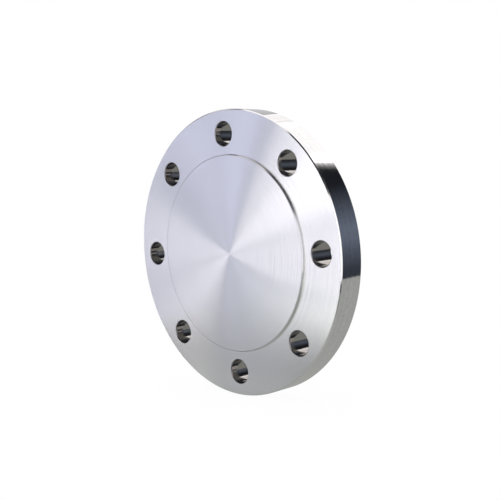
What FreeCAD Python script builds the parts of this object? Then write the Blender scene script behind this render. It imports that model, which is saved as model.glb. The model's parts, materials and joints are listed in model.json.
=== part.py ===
import FreeCAD, Part
import math
import os

# Raised-face blind flange, NPS 4 (DN 100), Class 150, to the dimensions of ASME B16.5.
# All sizes are in millimetres. The flange stands on its rim with its axis along Y: the
# origin is the centre of the raised gasket face, -Y points out of that face towards the
# pipe it closes, +Y runs through the plate to its back, and +Z passes through a bolt hole.

# Plate
outside_diameter = 228.6
plate_thickness = 22.3
rim_chamfer = 0.8

# Raised gasket face
raised_face_diameter = 157.2
raised_face_height = 2.0
raised_face_edge_break = 0.25
raised_face_root_radius = 0.4

# Bolt holes, for 5/8 inch studs
bolt_circle_diameter = 190.5
bolt_hole_diameter = 19.05
bolt_hole_count = 8
bolt_hole_chamfer = 0.6

# How far each cutter runs past the face that it opens
cutter_overrun = 1.0

total_thickness = raised_face_height + plate_thickness
flange_axis = FreeCAD.Vector(0, 1, 0)
flange_centre = FreeCAD.Vector(0, 0, 0)


def in_profile(radius, depth):
    """A point of a turned profile: distance from the axis, and depth behind the gasket face."""
    return FreeCAD.Vector(radius, depth, 0)


def straight_edges(points):
    """The straight edges that join a list of points in turn."""
    return [Part.LineSegment(start, end).toShape() for start, end in zip(points, points[1:])]


def turned(edges):
    """The solid that a closed profile sweeps in one turn about the flange's axis."""
    profile = Part.Face(Part.Wire(edges))
    return profile.revolve(flange_centre, flange_axis, 360)


def disc():
    """The turned blank: gasket face, its low step, the bolting face, the rim and the back."""
    rim_radius = outside_diameter / 2
    face_radius = raised_face_diameter / 2
    root = raised_face_root_radius
    gasket_side = [
        in_profile(0, 0),
        in_profile(face_radius - raised_face_edge_break, 0),
        in_profile(face_radius, raised_face_edge_break),
        in_profile(face_radius, raised_face_height - root),
    ]
    root_inset = root * (1 - math.cos(math.radians(45)))
    root_middle = in_profile(face_radius + root_inset, raised_face_height - root_inset)
    root_end = in_profile(face_radius + root, raised_face_height)
    root_arc = Part.Arc(gasket_side[-1], root_middle, root_end).toShape()
    rim_side = [
        root_end,
        in_profile(rim_radius - rim_chamfer, raised_face_height),
        in_profile(rim_radius, raised_face_height + rim_chamfer),
        in_profile(rim_radius, total_thickness - rim_chamfer),
        in_profile(rim_radius - rim_chamfer, total_thickness),
        in_profile(0, total_thickness),
        in_profile(0, 0),
    ]
    return turned(straight_edges(gasket_side) + [root_arc] + straight_edges(rim_side))


def bolt_hole_cutter():
    """One bolt hole on the flange's axis: a straight wall, opened at each mouth by a chamfer."""
    wall_radius = bolt_hole_diameter / 2
    mouth_radius = wall_radius + bolt_hole_chamfer + cutter_overrun
    front = raised_face_height - cutter_overrun
    back = total_thickness + cutter_overrun
    outline = [
        in_profile(0, front),
        in_profile(mouth_radius, front),
        in_profile(wall_radius, raised_face_height + bolt_hole_chamfer),
        in_profile(wall_radius, total_thickness - bolt_hole_chamfer),
        in_profile(mouth_radius, back),
        in_profile(0, back),
        in_profile(0, front),
    ]
    return turned(straight_edges(outline))


def bolt_hole_cutters():
    """The bolt hole, moved out to the bolt circle and repeated evenly round it."""
    cutters = []
    for index in range(bolt_hole_count):
        cutter = bolt_hole_cutter()
        cutter.translate(FreeCAD.Vector(0, 0, bolt_circle_diameter / 2))
        cutter.rotate(flange_centre, flange_axis, index * 360 / bolt_hole_count)
        cutters.append(cutter)
    return cutters


def blind_flange():
    """The whole flange, which is one piece of steel: the turned disc, drilled for its bolts."""
    return disc().cut(bolt_hole_cutters())


def report(name, shape):
    """Prints what the exported solid measures."""
    box = shape.BoundBox
    print(name, "solids", len(shape.Solids), "faces", len(shape.Faces), "valid", shape.isValid())
    print("  size", round(box.XLength, 3), round(box.YLength, 3), round(box.ZLength, 3))
    print("  volume", round(shape.Volume, 1))


os.makedirs("parts", exist_ok=True)
flange = blind_flange()
flange.exportStep("parts/blind_flange.step")
report("blind_flange", flange)
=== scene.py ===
import bpy
import json
import math
from mathutils import Matrix, Vector
from mathutils.geometry import normal as plane_normal


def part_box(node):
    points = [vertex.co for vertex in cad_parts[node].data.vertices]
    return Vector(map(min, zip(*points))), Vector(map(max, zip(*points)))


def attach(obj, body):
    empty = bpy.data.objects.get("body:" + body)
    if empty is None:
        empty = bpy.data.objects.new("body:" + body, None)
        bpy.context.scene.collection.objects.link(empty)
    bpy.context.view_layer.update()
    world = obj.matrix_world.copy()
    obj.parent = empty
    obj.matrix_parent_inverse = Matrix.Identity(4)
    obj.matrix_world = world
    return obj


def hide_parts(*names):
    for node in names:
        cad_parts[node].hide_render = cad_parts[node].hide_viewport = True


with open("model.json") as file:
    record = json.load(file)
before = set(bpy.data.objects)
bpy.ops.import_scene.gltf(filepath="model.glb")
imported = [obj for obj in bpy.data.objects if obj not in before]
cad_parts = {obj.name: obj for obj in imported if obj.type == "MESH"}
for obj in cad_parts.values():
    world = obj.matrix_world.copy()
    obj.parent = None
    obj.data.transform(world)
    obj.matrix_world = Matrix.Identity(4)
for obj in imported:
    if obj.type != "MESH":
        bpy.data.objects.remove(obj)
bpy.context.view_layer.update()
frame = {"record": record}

# The flange stands on its rim with its axis along Y. -Y points out of the gasket face, and
# +Z passes through a bolt hole. Sizes are in metres.
MM = 0.001
bolt_pattern = next(m for m in frame["record"]["mounts"] if m["name"] == "bolt_circle")["dims"]
node_low, node_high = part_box("blind_flange")

RIM_R = (node_high.x - node_low.x) / 2
FRONT = node_low.y
BACK = node_high.y
RIM_CHAMFER = 0.8 * MM
RIM_EDGE_RADIUS = 0.12 * MM
RAISED_R = 78.6 * MM
RAISED_HEIGHT = 2.0 * MM
RAISED_EDGE_BREAK = 0.25 * MM
RAISED_EDGE_RADIUS = 0.06 * MM
PAINTED_SHADE_BAND = 0.27 * MM  # a rougher ring with painted shade on the gasket face, just inside its edge
ROOT_RADIUS = 0.4 * MM
HOLE_COUNT = bolt_pattern["count"]
HOLE_R = bolt_pattern["hole_r_mm"] * MM
HOLE_CIRCLE_R = bolt_pattern["pcd_mm"] / 2 * MM
HOLE_CHAMFER = 0.6 * MM
HOLE_EDGE_RADIUS = 0.12 * MM

# Mesh detail
SECTOR_STEPS = 48
SIDE_STEPS = 16
FILLET_STEPS = 4
SPOKE_RINGS = 6
RING_CROWDING = 1.6  # above 1, the rings of a drilled face crowd towards its holes
DISC_RADII = [1 * MM, 6 * MM, 20 * MM, 40 * MM, 60 * MM]


# ---------------------------------------------------------------- mesh building

def rounded_profile(corners, outward):
    """Turned profile through (radius, depth, fillet radius) corners, each corner rounded.

    Gives (radius, depth, normal radius, normal depth) points. The outward side of the line
    is a quarter turn from its direction: clockwise for -1, anticlockwise for 1.
    """
    points = []
    for index, (radius, depth, fillet) in enumerate(corners):
        here = Vector((radius, depth))
        before = here - Vector(corners[index - 1][:2]) if index else None
        after = Vector(corners[index + 1][:2]) - here if index + 1 < len(corners) else None
        heading = (before or after).normalized()
        if before is None or after is None:
            points.append((*here, *quarter_turn(heading, outward)))
            continue
        turn = -heading.angle_signed(after.normalized())
        start = here - heading * fillet * math.tan(abs(turn) / 2)
        centre = start + quarter_turn(heading, math.copysign(1, turn)) * fillet
        for step in range(FILLET_STEPS + 1):
            swing = Matrix.Rotation(turn * step / FILLET_STEPS, 2)
            place = centre + swing @ (start - centre)
            points.append((*place, *quarter_turn(swing @ heading, outward)))
    return points


def quarter_turn(direction, way):
    """The direction turned a quarter turn, anticlockwise for 1 and clockwise for -1."""
    return Vector((-direction.y, direction.x)) * way


class MeshBuilder:
    """Collects vertices with their normals, and faces with their materials."""

    def __init__(self):
        self.vertices, self.normals, self.faces, self.slots = [], [], [], []

    def vertex(self, place, normal):
        self.vertices.append(place)
        self.normals.append(normal)
        return len(self.vertices) - 1

    def face(self, corners, slot):
        """A face, wound so that it looks the way its vertices' normals do."""
        looks = plane_normal(*(self.vertices[index] for index in corners))
        leans = sum((self.normals[index] for index in corners), Vector((0, 0, 0)))
        self.faces.append(corners if looks.dot(leans) > 0 else corners[::-1])
        self.slots.append(slot)

    def band(self, first, second, slot):
        """Quads between two closed rows of vertices."""
        for index in range(len(first)):
            following = (index + 1) % len(first)
            self.face((first[index], first[following], second[following], second[index]), slot)

    def fan(self, centre, row, slot):
        """Triangles between a centre and a closed row."""
        for index in range(len(row)):
            self.face((centre, row[(index + 1) % len(row)], row[index]), slot)

    def object(self, name, materials):
        """The mesh as an object in the scene, shaded by the normals that it was given."""
        mesh = bpy.data.meshes.new(name)
        mesh.from_pydata(self.vertices, [], self.faces)
        for material in materials:
            mesh.materials.append(material)
        mesh.polygons.foreach_set("material_index", self.slots)
        mesh.polygons.foreach_set("use_smooth", [True] * len(self.faces))
        mesh.update()
        mesh.normals_split_custom_set_from_vertices(self.normals)
        made = bpy.data.objects.new(name, mesh)
        bpy.context.scene.collection.objects.link(made)
        return made


def about_axis(angle, radius, depth):
    """A point at an angle round the flange's axis, from +X towards +Z."""
    return Vector((radius * math.cos(angle), depth, radius * math.sin(angle)))


def turned_row(builder, point):
    """A closed row of vertices where a profile point goes once round the flange's axis."""
    radius, depth, normal_radius, normal_depth = point
    count = HOLE_COUNT * SECTOR_STEPS
    row = []
    for index in range(count):
        angle = (index / SECTOR_STEPS - 0.5) * math.tau / HOLE_COUNT
        outward = about_axis(angle, normal_radius, normal_depth)
        row.append(builder.vertex(about_axis(angle, radius, depth), outward))
    return row


def turned_rows(builder, points):
    """A closed row of vertices for each profile point in turn."""
    return [turned_row(builder, point) for point in points]


def spokes(builder, inner, outer):
    """Between each pair of holes, a row of vertices from the inner circle to the outer one."""
    rows = []
    for sector in range(HOLE_COUNT):
        low, high = inner[sector * SECTOR_STEPS], outer[sector * SECTOR_STEPS]
        start, end = builder.vertices[low], builder.vertices[high]
        row = [low]
        for step in range(1, SIDE_STEPS):
            row.append(builder.vertex(start.lerp(end, step / SIDE_STEPS), builder.normals[low]))
        rows.append(row + [high])
    return rows


def sector_outline(inner, outer, spoke_rows, sector):
    """The closed row of vertices round one hole's share of a drilled face."""
    count = len(inner)
    start, end = sector * SECTOR_STEPS, (sector + 1) * SECTOR_STEPS
    along_inner = [inner[index % count] for index in range(start, end)]
    far_spoke = spoke_rows[(sector + 1) % HOLE_COUNT][:-1]
    along_outer = [outer[index % count] for index in range(end, start, -1)]
    near_spoke = spoke_rows[sector][:0:-1]
    return along_inner + far_spoke + along_outer + near_spoke


def drilled_face(builder, inner, outer, mouth_r, slot):
    """A flat ring with a round opening in each sector. Gives the row round each opening."""
    spoke_rows = spokes(builder, inner, outer)
    mouths = []
    for sector in range(HOLE_COUNT):
        outline = sector_outline(inner, outer, spoke_rows, sector)
        places = [builder.vertices[index] for index in outline]
        outward = Vector((0, math.copysign(1, places[0].y - (FRONT + BACK) / 2), 0))
        centre = about_axis(sector * math.tau / HOLE_COUNT, HOLE_CIRCLE_R, places[0].y)
        edge = [centre + (place - centre).normalized() * mouth_r for place in places]
        last = outline
        for ring in range(1, SPOKE_RINGS + 1):
            share = 1 - (1 - ring / SPOKE_RINGS) ** RING_CROWDING
            row = [
                builder.vertex(place.lerp(rim, share), outward) for place, rim in zip(places, edge)
            ]
            builder.band(last, row, slot)
            last = row
        mouths.append(last)
    return mouths


def bored(builder, front_mouth, back_mouth, profile, sector, slots):
    """The wall of one bolt hole, from its front mouth to its back mouth."""
    centre = about_axis(sector * math.tau / HOLE_COUNT, HOLE_CIRCLE_R, 0)
    bearings = []
    for index in front_mouth:
        away = builder.vertices[index] - centre
        bearings.append(Vector((away.x, 0, away.z)).normalized())
    last = front_mouth
    for (radius, depth, normal_radius, normal_depth), slot in zip(profile[1:-1], slots):
        row = []
        for bearing in bearings:
            place = centre + bearing * radius + Vector((0, depth, 0))
            outward = bearing * normal_radius + Vector((0, normal_depth, 0))
            row.append(builder.vertex(place, outward))
        builder.band(last, row, slot)
        last = row
    builder.band(last, back_mouth, slots[-1])


# ---------------------------------------------------------------- materials

class NodeMaterial:
    """A material with a Principled BSDF, and short calls for adding nodes to it."""

    def __init__(self, name):
        self.material = bpy.data.materials.new(name)
        self.material.use_nodes = True
        self.tree = self.material.node_tree
        self.shader = self.tree.nodes["Principled BSDF"]

    def node(self, kind, settings=(), **inputs):
        """A new node with these settings. An input is given by its name, or as _0 by its place."""
        made = self.tree.nodes.new(kind)
        for key, value in dict(settings).items():
            setattr(made, key, value)
        for key, value in inputs.items():
            self.put(made.inputs[int(key[1:]) if key[0] == "_" else key], value)
        return made

    def put(self, socket, value):
        """Links a socket to another one, or gives it a value."""
        if isinstance(value, bpy.types.NodeSocket):
            self.tree.links.new(value, socket)
        else:
            socket.default_value = value

    def maths(self, operation, *values):
        """The output of a maths node."""
        made = self.node("ShaderNodeMath", {"operation": operation})
        for socket, value in zip(made.inputs, values):
            self.put(socket, value)
        return made.outputs[0]

    def vector_maths(self, operation, first, second=None, scale=None):
        """The output of a vector maths node."""
        made = self.node("ShaderNodeVectorMath", {"operation": operation}, _0=first)
        if second is not None:
            self.put(made.inputs[1], second)
        if scale is not None:
            self.put(made.inputs["Scale"], scale)
        return made.outputs["Value" if operation == "LENGTH" else "Vector"]

    def remapped(self, value, low, high):
        """A 0 to 1 value stretched to run from low to high."""
        return self.maths("MULTIPLY_ADD", value, high - low, low)

    def around(self, middle, spread, value):
        """A 0 to 1 value turned into one that strays from a middle by up to a spread."""
        return self.remapped(value, middle - spread, middle + spread)


# Turned lines come in three widths: the pitch itself, this many pitches, and broad rings
COARSE_PITCHES = 4
BROAD_RINGS = 9 * MM
LINE_DETAIL = 2.0

# Mottle is a slow change of roughness, and grain breaks up the rim's streaks
MOTTLE_SCALE = 30.0
MOTTLE_DETAIL = 3.0
GRAIN_SCALE = 450.0
GRAIN_DETAIL = 2.0

# How far each one changes the steel
FINE_SHADE = 0.02
BROAD_SHADE = 0.015
ROUGHNESS_SPREAD = 0.015
ANISOTROPY_LOSS = 0.06

SHEEN_TURN = 0.25  # in whole turns, from the tangent that Blender gives


def turned_steel(name, across, tint, roughness, anisotropy, pitch, slope, streaks=0.0):
    """Stainless steel with the fine circular lines that a lathe tool leaves.

    across says which way the lines lie side by side: "radius" on a face, "depth" on the rim
    or in a bore. pitch is about how far apart they are, and slope how steep their sides are.
    anisotropy is how much the sheen stretches across them. streaks is how much lighter or
    darker a line or a grain may be.
    """
    metal = NodeMaterial(name)
    place = metal.node("ShaderNodeTexCoord").outputs["Object"]
    depth = metal.node("ShaderNodeSeparateXYZ", _0=place).outputs["Y"]
    outward = metal.vector_maths("MULTIPLY", place, (1.0, 0.0, 1.0))
    if across == "radius":
        position = metal.vector_maths("LENGTH", outward)
        sideways = metal.vector_maths("NORMALIZE", outward)
    else:
        position = depth
        sideways = (0.0, 1.0, 0.0)

    def lines(width):
        """Noise from 0 to 1 that only changes across the lines."""
        scaled = metal.maths("DIVIDE", position, width)
        settings = {"noise_dimensions": "1D"}
        noise = metal.node("ShaderNodeTexNoise", settings, W=scaled, Scale=1.0, Detail=LINE_DETAIL)
        return noise.outputs["Fac"]

    def cloud(scale, detail):
        """Noise from 0 to 1 that changes every way."""
        noise = metal.node("ShaderNodeTexNoise", Vector=place, Scale=scale, Detail=detail)
        return noise.outputs["Fac"]

    fine, coarse, broad = lines(pitch), lines(COARSE_PITCHES * pitch), lines(BROAD_RINGS)
    mottle = cloud(MOTTLE_SCALE, MOTTLE_DETAIL)

    fine_shade = metal.around(1.0, FINE_SHADE, fine)
    shade = metal.maths("MULTIPLY", fine_shade, metal.around(1.0, BROAD_SHADE, broad))
    if streaks:
        grain = metal.around(1.0, streaks, cloud(GRAIN_SCALE, GRAIN_DETAIL))
        streaked = metal.maths("MULTIPLY", grain, metal.around(1.0, streaks, coarse))
        shade = metal.maths("MULTIPLY", shade, streaked)
    metal.put(metal.shader.inputs["Base Color"], metal.vector_maths("SCALE", tint, scale=shade))
    metal.shader.inputs["Metallic"].default_value = 1.0

    fine_rough = metal.around(0.0, ROUGHNESS_SPREAD, fine)
    change = metal.maths("ADD", fine_rough, metal.around(0.0, ROUGHNESS_SPREAD, mottle))
    metal.put(metal.shader.inputs["Roughness"], metal.maths("ADD", change, roughness))
    if anisotropy:
        loss = metal.remapped(broad, -ANISOTROPY_LOSS, 0.0)
        metal.put(metal.shader.inputs["Anisotropic"], metal.maths("ADD", loss, anisotropy))
        metal.shader.inputs["Anisotropic Rotation"].default_value = SHEEN_TURN
        tangent = metal.node("ShaderNodeTangent", {"direction_type": "RADIAL", "axis": "Y"})
        metal.put(metal.shader.inputs["Tangent"], tangent.outputs[0])

    tilt = metal.maths("ADD", metal.around(0.0, slope, fine), metal.around(0.0, slope, coarse))
    lean = metal.vector_maths("SCALE", sideways, scale=tilt)
    surface = metal.node("ShaderNodeNewGeometry").outputs["Normal"]
    leaning = metal.vector_maths("ADD", surface, lean)
    metal.put(metal.shader.inputs["Normal"], metal.vector_maths("NORMALIZE", leaning))
    return metal.material


STEEL = (0.80, 0.80, 0.82)
# Darkened steel for the bores: painted shade inside the bolt holes
BORE_PAINTED_SHADE_TINT = (0.42, 0.405, 0.395)
# Darkened steel for the broken edges: painted shade on the hole chamfers and on a ring just inside
# the gasket face's edge
BROKEN_EDGE_PAINTED_SHADE_TINT = (0.26, 0.25, 0.26)

MATERIALS = [
    turned_steel(
        "gasket_face_steel", "radius", STEEL,
        roughness=0.245, anisotropy=1.0, pitch=0.35 * MM, slope=0.034, streaks=0.04,
    ),
    turned_steel(
        "bolting_face_steel", "radius", STEEL,
        roughness=0.245, anisotropy=1.0, pitch=0.4 * MM, slope=0.034, streaks=0.04,
    ),
    turned_steel(
        "edge_steel", "depth", STEEL,
        roughness=0.15, anisotropy=0.3, pitch=0.4 * MM, slope=0.01,
    ),
    turned_steel(
        "rim_steel", "depth", STEEL,
        roughness=0.075, anisotropy=0.6, pitch=0.5 * MM, slope=0.012, streaks=0.12,
    ),
    # The bore's dark tint is painted shade inside the bolt holes
    turned_steel(
        "bore_steel_painted_shade", "depth", BORE_PAINTED_SHADE_TINT,
        roughness=0.13, anisotropy=0.0, pitch=0.5 * MM, slope=0.03,
    ),
    # Rougher steel with a dark tint of painted shade, for the hole chamfers and the ring inside
    # the gasket face's edge
    turned_steel(
        "broken_edge_painted_shade", "depth", BROKEN_EDGE_PAINTED_SHADE_TINT,
        roughness=0.3, anisotropy=0.0, pitch=0.5 * MM, slope=0.01,
    ),
    turned_steel(
        "raised_edge_steel", "depth", STEEL,
        roughness=0.15, anisotropy=0.0, pitch=0.5 * MM, slope=0.01,
    ),
]
GASKET_FACE, BOLTING_FACE, EDGE, RIM, BORE, BROKEN_EDGE, RAISED_EDGE = range(len(MATERIALS))


# ---------------------------------------------------------------- the flange

def flange():
    """The whole flange as one closed mesh."""
    builder = MeshBuilder()
    bolting = FRONT + RAISED_HEIGHT
    handover = (RAISED_R + HOLE_CIRCLE_R - HOLE_R) / 2  # where the two turned profiles meet
    front = rounded_profile(
        [
            (0, FRONT, 0),
            (RAISED_R - RAISED_EDGE_BREAK, FRONT, RAISED_EDGE_RADIUS),
            (RAISED_R, FRONT + RAISED_EDGE_BREAK, RAISED_EDGE_RADIUS),
            (RAISED_R, bolting, ROOT_RADIUS),
            (handover, bolting, 0),
        ],
        -1,
    )
    rim = rounded_profile(
        [
            (handover, bolting, 0),
            (RIM_R - RIM_CHAMFER, bolting, RIM_EDGE_RADIUS),
            (RIM_R, bolting + RIM_CHAMFER, RIM_EDGE_RADIUS),
            (RIM_R, BACK - RIM_CHAMFER, RIM_EDGE_RADIUS),
            (RIM_R - RIM_CHAMFER, BACK, RIM_EDGE_RADIUS),
            (handover, BACK, 0),
        ],
        -1,
    )
    mouth = HOLE_R + HOLE_CHAMFER
    hole = rounded_profile(
        [
            (mouth + HOLE_CHAMFER, bolting, 0),
            (mouth, bolting, HOLE_EDGE_RADIUS),
            (HOLE_R, bolting + HOLE_CHAMFER, HOLE_EDGE_RADIUS),
            (HOLE_R, BACK - HOLE_CHAMFER, HOLE_EDGE_RADIUS),
            (mouth, BACK, HOLE_EDGE_RADIUS),
            (mouth + HOLE_CHAMFER, BACK, 0),
        ],
        1,
    )[1:-1]

    # How many bands a chamfer has with both its rounded edges, and the raised face's wall with
    # its root
    chamfer_bands = 2 * FILLET_STEPS + 1
    wall_bands = FILLET_STEPS + 1

    centre = builder.vertex(Vector((0, FRONT, 0)), Vector((0, -1, 0)))
    disc = turned_rows(builder, [(radius, FRONT, 0, -1) for radius in DISC_RADII])
    step = turned_rows(builder, front[1:-1])
    builder.fan(centre, disc[0], GASKET_FACE)
    shade_band_inner = turned_row(builder, (RAISED_R - RAISED_EDGE_BREAK - PAINTED_SHADE_BAND, FRONT, 0, -1))
    gasket_rows = disc + [shade_band_inner]
    for first, second in zip(gasket_rows, gasket_rows[1:]):
        builder.band(first, second, GASKET_FACE)
    # The ring just inside the gasket face's edge takes the painted shade of the broken edges
    builder.band(shade_band_inner, step[0], BROKEN_EDGE)
    step_slots = [RAISED_EDGE] * chamfer_bands + [EDGE] * wall_bands
    for first, second, slot in zip(step, step[1:], step_slots):
        builder.band(first, second, slot)

    outside = turned_rows(builder, rim[1:-1])
    for index, (first, second) in enumerate(zip(outside, outside[1:])):
        builder.band(first, second, RIM if index == chamfer_bands else EDGE)

    back_inner = turned_row(builder, (front[-2][0], BACK, 0, 1))
    back_disc = turned_rows(builder, [(radius, BACK, 0, 1) for radius in reversed(DISC_RADII)])
    back_centre = builder.vertex(Vector((0, BACK, 0)), Vector((0, 1, 0)))
    back_rows = [back_inner] + back_disc
    for first, second in zip(back_rows, back_rows[1:]):
        builder.band(first, second, BOLTING_FACE)
    builder.fan(back_centre, back_disc[-1][::-1], BOLTING_FACE)

    front_mouths = drilled_face(builder, step[-1], outside[0], hole[0][0], BOLTING_FACE)
    back_mouths = drilled_face(builder, back_inner, outside[-1], hole[-1][0], BOLTING_FACE)
    # The hole chamfers get the painted shade of the broken edges
    slots = [BROKEN_EDGE] * chamfer_bands + [BORE] + [BROKEN_EDGE] * chamfer_bands
    for sector in range(HOLE_COUNT):
        bored(builder, front_mouths[sector], back_mouths[sector], hole, sector, slots)
    return builder.object("flange_body", MATERIALS)


body = flange()
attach(body, "root")
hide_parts("blind_flange")


# ---------------------------------------------------------------- stage, light and camera

# The edge on the side of +X slants, and its reflection in the rim slants with it
FLOOR_CORNERS = [(-0.40, -0.40), (0.19, -0.40), (0.323, 0.40), (-0.40, 0.40)]
FLOOR_TINT = (1.0, 1.013, 0.945)

# The faint shadow that the camera sees where the flange touches the floor
CONTACT_SHADE = 0.97
CONTACT_REACH = 0.06
CONTACT_SAMPLES = 16

# How bright the floor glows in reflections, against its place in Y: painted light, brightest far
# in front of the flange and much dimmer near it
FLOOR_GLOW = [
    (-0.38, 1.78), (-0.28, 1.55), (-0.235, 1.24), (-0.20, 0.66), (-0.17, 0.41), (-0.13, 0.33),
    (-0.09, 0.25), (-0.07, 0.21), (-0.05, 0.35), (-0.02, 0.37), (0.0, 0.32),
]
FLOOR_PEAK = 2.0  # the ramp holds the glow divided by this, which keeps its colours below 1
FLOOR_RAMP_START = -0.5  # the ramp covers one metre of Y, from here

# Between these places in X, the glow goes from the first share of itself to the second, so the
# painted light is dimmer towards -X
FLOOR_SHARE_PLACES = (-0.24, -0.1)
FLOOR_SHARES = (0.45, 1.2)

# How bright the studio is in reflections, against the elevation in degrees
ROOM_GLOW = [
    (-25, 0.02), (-12, 0.05), (-4, 0.10), (3, 0.155), (9, 0.165),
    (17, 0.105), (24, 0.05), (30, 0.015), (36, 0.008),
]
ROOM_TINT = (0.82, 0.95, 1.24)

WHITE = (1.0, 1.0, 1.0, 1.0)
MAIN_LIGHT = (1.02, 0.985, 0.965)
COOL_LIGHT = (0.94, 0.945, 1.13)
LIGHT_DISTANCE = 2.0  # in front of the gasket face, above the origin, or straight out from it

# Lights in front that have a side on a line through this point show it on the turned face as a
# straight spoke. These are the lines' slopes in degrees.
FAN_POINT = Vector((-2.07, -LIGHT_DISTANCE, -0.19))
LOW_SPOKE = -15
MIDDLE_SPOKE = 36
HIGH_SPOKE = 56.5
LEFT_SPOKE = 67

# The light behind and above fades out on one side, in strips: azimuth, width and radiance
BACK_EDGE = [(165.7, 0.15, 0.92), (162.7, 0.059, 0.74), (161.0, 0.059, 0.42), (159.3, 0.059, 0.13)]
BACK_EDGE_ELEVATION = 37.5
BACK_EDGE_HEIGHT = 0.9

# The camera: degrees, metres from the origin, and metres across and up from the line to it
CAMERA_AZIMUTH = 46.07
CAMERA_ELEVATION = 3.76
CAMERA_ROLL = -3.855
CAMERA_DISTANCE = 0.708
CAMERA_ACROSS = 0.01629
CAMERA_UP = 0.00309
SENSOR_WIDTH_MM = 36
LENS_MM = 64


def towards(azimuth, elevation):
    """Unit vector at an azimuth from -Y towards +X, and an elevation, both in degrees."""
    turn, lift = math.radians(azimuth), math.radians(elevation)
    return Vector(
        (math.sin(turn) * math.cos(lift), -math.cos(turn) * math.cos(lift), math.sin(lift))
    )


def set_ramp(ramp, stops):
    """Gives a colour ramp these stops, each one a place from 0 to 1 and a colour."""
    elements = ramp.color_ramp.elements
    while len(elements) < len(stops):
        elements.new(1.0)
    for element, (position, colour) in zip(elements, stops):
        element.position = position
        element.color = [*colour, 1]


def floor():
    """A pale table top that the flange stands on."""
    mesh = bpy.data.meshes.new("floor")
    corners = [(x, y, 0) for x, y in FLOOR_CORNERS]
    mesh.from_pydata(corners, [], [tuple(range(len(corners)))])
    made = bpy.data.objects.new("floor", mesh)
    made.location.z = node_low.z
    bpy.context.scene.collection.objects.link(made)
    mesh.materials.append(floor_material())


def floor_material():
    """Plain and nearly white to the camera, and to every other ray the floor's glow, which is
    painted light.
    """
    paper = NodeMaterial("pale_floor")
    coordinates = paper.node("ShaderNodeTexCoord").outputs["Object"]
    place = paper.node("ShaderNodeSeparateXYZ", _0=coordinates).outputs

    along = paper.maths("MULTIPLY_ADD", place["Y"], 1.0, -FLOOR_RAMP_START)
    ramp = paper.node("ShaderNodeValToRGB", Fac=along)
    stops = []
    for depth, glow in FLOOR_GLOW:
        colour = [glow / FLOOR_PEAK * tint for tint in FLOOR_TINT]
        stops.append((depth - FLOOR_RAMP_START, colour))
    set_ramp(ramp, stops)

    sideways = paper.node("ShaderNodeMapRange", Value=place["X"])
    for socket, value in zip(sideways.inputs[1:5], FLOOR_SHARE_PLACES + FLOOR_SHARES):
        socket.default_value = value
    strength = paper.maths("MULTIPLY", sideways.outputs[0], FLOOR_PEAK)
    reflected = paper.node("ShaderNodeEmission", Color=ramp.outputs["Color"], Strength=strength)

    contact = paper.node(
        "ShaderNodeAmbientOcclusion", {"samples": CONTACT_SAMPLES}, Distance=CONTACT_REACH
    )
    shade = paper.remapped(contact.outputs["AO"], CONTACT_SHADE, 1.0)
    seen = paper.node("ShaderNodeEmission", Color=WHITE, Strength=shade)

    by_camera = paper.node("ShaderNodeLightPath").outputs["Is Camera Ray"]
    mix = paper.node(
        "ShaderNodeMixShader", _0=by_camera, _1=reflected.outputs[0], _2=seen.outputs[0]
    )
    paper.put(paper.tree.nodes["Material Output"].inputs["Surface"], mix.outputs[0])
    paper.tree.nodes.remove(paper.shader)
    return paper.material


def room():
    """White to the camera, and a dim studio in reflections."""
    world = bpy.data.worlds.new("studio")
    bpy.context.scene.world = world
    world.use_nodes = True
    nodes, links = world.node_tree.nodes, world.node_tree.links
    direction = nodes.new("ShaderNodeTexCoord").outputs["Generated"]
    parts = nodes.new("ShaderNodeSeparateXYZ")
    links.new(direction, parts.inputs[0])

    # The ramp runs from 0, straight down, to 1, straight up
    height = nodes.new("ShaderNodeMath")
    height.operation = "MULTIPLY_ADD"
    height.inputs[1].default_value = 0.5
    height.inputs[2].default_value = 0.5
    links.new(parts.outputs["Z"], height.inputs[0])
    ramp = nodes.new("ShaderNodeValToRGB")
    links.new(height.outputs[0], ramp.inputs["Fac"])
    stops = []
    for elevation, glow in ROOM_GLOW:
        colour = [glow * tint for tint in ROOM_TINT]
        stops.append((0.5 + 0.5 * math.sin(math.radians(elevation)), colour))
    set_ramp(ramp, stops)

    path = nodes.new("ShaderNodeLightPath")
    mix = nodes.new("ShaderNodeMix")
    mix.data_type = "RGBA"
    links.new(ramp.outputs["Color"], mix.inputs["A"])
    mix.inputs["B"].default_value = WHITE
    links.new(path.outputs["Is Camera Ray"], mix.inputs["Factor"])
    links.new(mix.outputs["Result"], nodes["Background"].inputs["Color"])


def softbox(name, centre, along, up, width, height, radiance, colour=MAIN_LIGHT):
    """A rectangular soft light with its width and height along these directions."""
    lamp = bpy.data.lights.new(name, "AREA")
    lamp.shape = "RECTANGLE"
    lamp.size, lamp.size_y = width, height
    lamp.energy = radiance * math.pi * width * height
    lamp.color = colour
    made = bpy.data.objects.new(name, lamp)
    turn = Matrix((along, up, along.cross(up))).transposed().to_4x4()
    made.matrix_world = Matrix.Translation(centre) @ turn
    made.visible_camera = False
    bpy.context.scene.collection.objects.link(made)


def front_softbox(name, left, right, bottom, top, radiance):
    """A cool soft light upright in front of the gasket face, between these sides."""
    centre = Vector(((left + right) / 2, -LIGHT_DISTANCE, (bottom + top) / 2))
    across, up = Vector((1, 0, 0)), Vector((0, 0, 1))
    softbox(name, centre, across, up, right - left, top - bottom, radiance, COOL_LIGHT)


def fanned_softbox(name, start, slope, length, height, radiance, colour=MAIN_LIGHT):
    """A soft light in front of the gasket face, with one long side on a line at this slope
    through the fan point. It starts this far along the line, and its height is above the line,
    or below it if negative."""
    turn = math.radians(slope)
    along = Vector((math.cos(turn), 0, math.sin(turn)))
    up = Vector((-math.sin(turn), 0, math.cos(turn)))
    centre = FAN_POINT + along * (start + length / 2) + up * height / 2
    softbox(name, centre, along, up, length, abs(height), radiance, colour)


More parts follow.
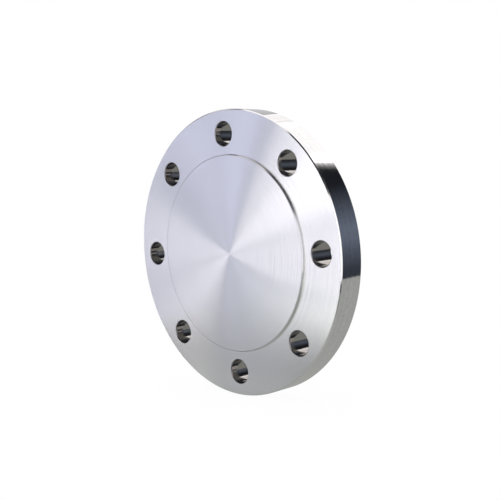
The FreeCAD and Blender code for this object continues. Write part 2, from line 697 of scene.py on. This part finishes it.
def far_softbox(name, azimuth, elevation, width, height, radiance):
    """A soft light that faces the flange from a direction."""
    back = towards(azimuth, elevation)
    along = Vector((0, 0, 1)).cross(back).normalized()
    softbox(name, back * LIGHT_DISTANCE, along, back.cross(along), width, height, radiance)


def fan_lights():
    """The lights that make the bright sectors of the turned face: the low one, the high one and
    the one between them, each in lengths that get brighter and dimmer along its spoke."""
    fanned_softbox("fan_low_middle", 0.6, LOW_SPOKE, 0.45, 0.45, 1.5)
    fanned_softbox("fan_low_outer", 1.05, LOW_SPOKE, 0.5, 0.6, 2.3)
    fanned_softbox("fan_low_far", 1.55, LOW_SPOKE, 0.8, 0.8, 1.25)
    fanned_softbox("fan_high_inner", 0.2, HIGH_SPOKE, 0.4, -0.25, 0.85)
    fanned_softbox("fan_high_middle", 0.6, HIGH_SPOKE, 0.45, -0.45, 1.55)
    fanned_softbox("fan_high_outer", 1.05, HIGH_SPOKE, 0.6, -0.7, 1.75)
    fanned_softbox("fan_middle_inner", 0.45, MIDDLE_SPOKE, 0.6, -0.35, 1.15)
    fanned_softbox("fan_middle_outer", 1.05, MIDDLE_SPOKE, 0.5, -0.6, 3.9)
    fanned_softbox("fan_middle_far", 1.55, MIDDLE_SPOKE, 0.6, -0.8, 1.25)


def left_lights():
    """The cooler lights in front and to the left, for the greyer sectors of the face."""
    front_softbox("side_left", -3.4, -2.5, -0.3, 0.5, 1.05)
    front_softbox("side_left_high", -3.4, -2.5, 0.5, 1.3, 0.85)
    front_softbox("side_low", -3.4, -2.5, -1.0, -0.3, 0.65)
    fanned_softbox("left", 0.15, LEFT_SPOKE, 0.6, 0.5, 1.05, COOL_LIGHT)
    front_softbox("left_low", -2.5, -1.7, -0.45, -0.05, 0.7)
    fanned_softbox("left_high", 0.75, LEFT_SPOKE, 0.75, 0.75, 0.5, COOL_LIGHT)
    fanned_softbox("left_top", 1.5, LEFT_SPOKE, 0.7, 0.9, 0.75, COOL_LIGHT)
    front_softbox("low_left", -2.5, -1.6, -1.0, -0.45, 0.6)
    front_softbox("front_low", -1.6, -0.9, -1.0, -0.6, 0.5)


def surrounding_lights():
    """The lights above, beside and behind the flange, mostly for its rim and back."""
    ceiling_along = Vector((0.9, -0.43, 0)).normalized()
    ceiling_up = Vector((0.43, 0.9, 0)).normalized()
    ceiling = Vector((-0.63, -0.493, LIGHT_DISTANCE))
    softbox("ceiling", ceiling, ceiling_along, ceiling_up, 1.45, 0.5, 1.3)
    far_softbox("left_side_high", -93, 42, 0.6, 0.6, 0.8)
    far_softbox("right", 105, 22, 1.7, 1.9, 0.95)
    far_softbox("right_low", 108, -14, 1.5, 0.65, 0.95)
    far_softbox("back_low", 181.5, 7.5, 1.57, 0.89, 1.1)
    overhead = Vector((0, 0.65, LIGHT_DISTANCE))
    softbox("overhead", overhead, Vector((1, 0, 0)), Vector((0, 1, 0)), 3.2, 1.3, 0.9)
    far_softbox("camera_side", 45, 5, 1.0, 1.85, 1.3)
    far_softbox("back_high", 184.5, 38, 1.2, 0.96, 1.2)
    far_softbox("back_high_side", 206, 35, 0.2, 0.9, 1.0)
    for index, (azimuth, width, radiance) in enumerate(BACK_EDGE):
        name = f"back_edge_{index}"
        far_softbox(name, azimuth, BACK_EDGE_ELEVATION, width, BACK_EDGE_HEIGHT, radiance)
    far_softbox("back_side", 213.0, 33, 0.21, 0.66, 1.05)
    far_softbox("back_gap", 221, 19, 0.32, 0.7, 0.5)
    far_softbox("back_left", 232, 2, 0.5, 0.5, 1.2)


def camera():
    """The camera, which looks along a direction through a point beside the origin."""
    data = bpy.data.cameras.new("camera")
    data.sensor_width = SENSOR_WIDTH_MM
    data.lens = LENS_MM
    made = bpy.data.objects.new("camera", data)
    bpy.context.scene.collection.objects.link(made)
    back = towards(CAMERA_AZIMUTH, CAMERA_ELEVATION)
    right = Vector((0, 0, 1)).cross(back).normalized()
    up = back.cross(right)
    roll = math.radians(CAMERA_ROLL)
    across = math.cos(roll) * right + math.sin(roll) * up
    upward = math.cos(roll) * up - math.sin(roll) * right
    place = back * CAMERA_DISTANCE + across * CAMERA_ACROSS + upward * CAMERA_UP
    turn = Matrix((across, upward, back)).transposed().to_4x4()
    made.matrix_world = Matrix.Translation(place) @ turn
    bpy.context.scene.camera = made


floor()
room()
fan_lights()
left_lights()
surrounding_lights()
camera()
bpy.context.scene.view_settings.view_transform = "Standard"
